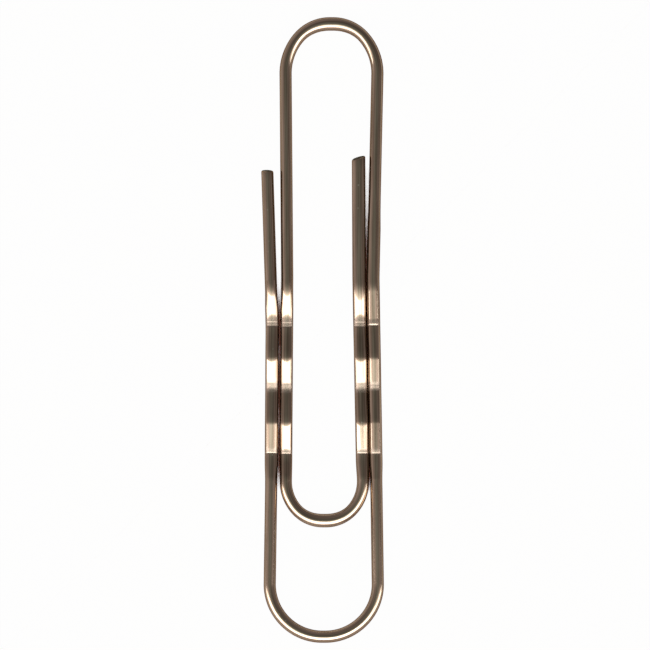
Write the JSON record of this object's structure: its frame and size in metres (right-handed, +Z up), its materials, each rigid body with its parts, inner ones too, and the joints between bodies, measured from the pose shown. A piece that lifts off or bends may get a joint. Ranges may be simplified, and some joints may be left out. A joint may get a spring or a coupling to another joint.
{
  "type": "paper clip",
  "caption": "Giant flat wire paper clip with an inner tongue inside an outer loop and shallow waves pressed across its legs, for holding thick stacks of loose paper.",
  "frame": {"origin": "middle of the clip's outline, on the table under the waves that it lies on", "axes": "+Y along the clip to the bend above the two cut ends, +X across it to the long leg, +Z up from the table"},
  "size_m": [0.015, 0.077, 0.0021],
  "materials": {
    "wire": "bright drawn steel wire with a thin warm plating, polished by forming"
  },
  "bodies": {
    "long_leg": {"top_bend_right": "wire", "long_leg_upper": "wire", "long_leg_wave": "wire", "long_leg_lower": "wire", "bottom_bend_right": "wire"},
    "outer_leg": {"bottom_bend_left": "wire", "outer_leg_lower": "wire", "outer_leg_wave": "wire", "outer_leg_tip": "wire"},
    "tongue": {"top_bend_left": "wire", "tongue_left_upper": "wire", "tongue_left_wave": "wire", "tongue_bend_left": "wire"},
    "tongue_free_leg": {"tongue_bend_right": "wire", "tongue_right_wave": "wire", "tongue_right_tip": "wire"}
  },
  "joints": [
    {"name": "tongue_lift", "type": "hinge", "parent": "long_leg", "child": "tongue", "pos_m": [0.0011, 0.03775, 0.00135], "axis": [-1, 0, 0], "range_deg": [0, 8], "stiffness_Nm_per_rad": 0.8},
    {"name": "outer_leg_lift", "type": "hinge", "parent": "long_leg", "child": "outer_leg", "pos_m": [0.00015, -0.03775, 0.00135], "axis": [1, 0, 0], "range_deg": [0, 6], "stiffness_Nm_per_rad": 0.6},
    {"name": "tongue_free_leg_lift", "type": "hinge", "parent": "tongue", "child": "tongue_free_leg", "pos_m": [0.00023, -0.02355, 0.00135], "axis": [1, 0, 0], "range_deg": [0, 6], "stiffness_Nm_per_rad": 0.6}
  ]
}
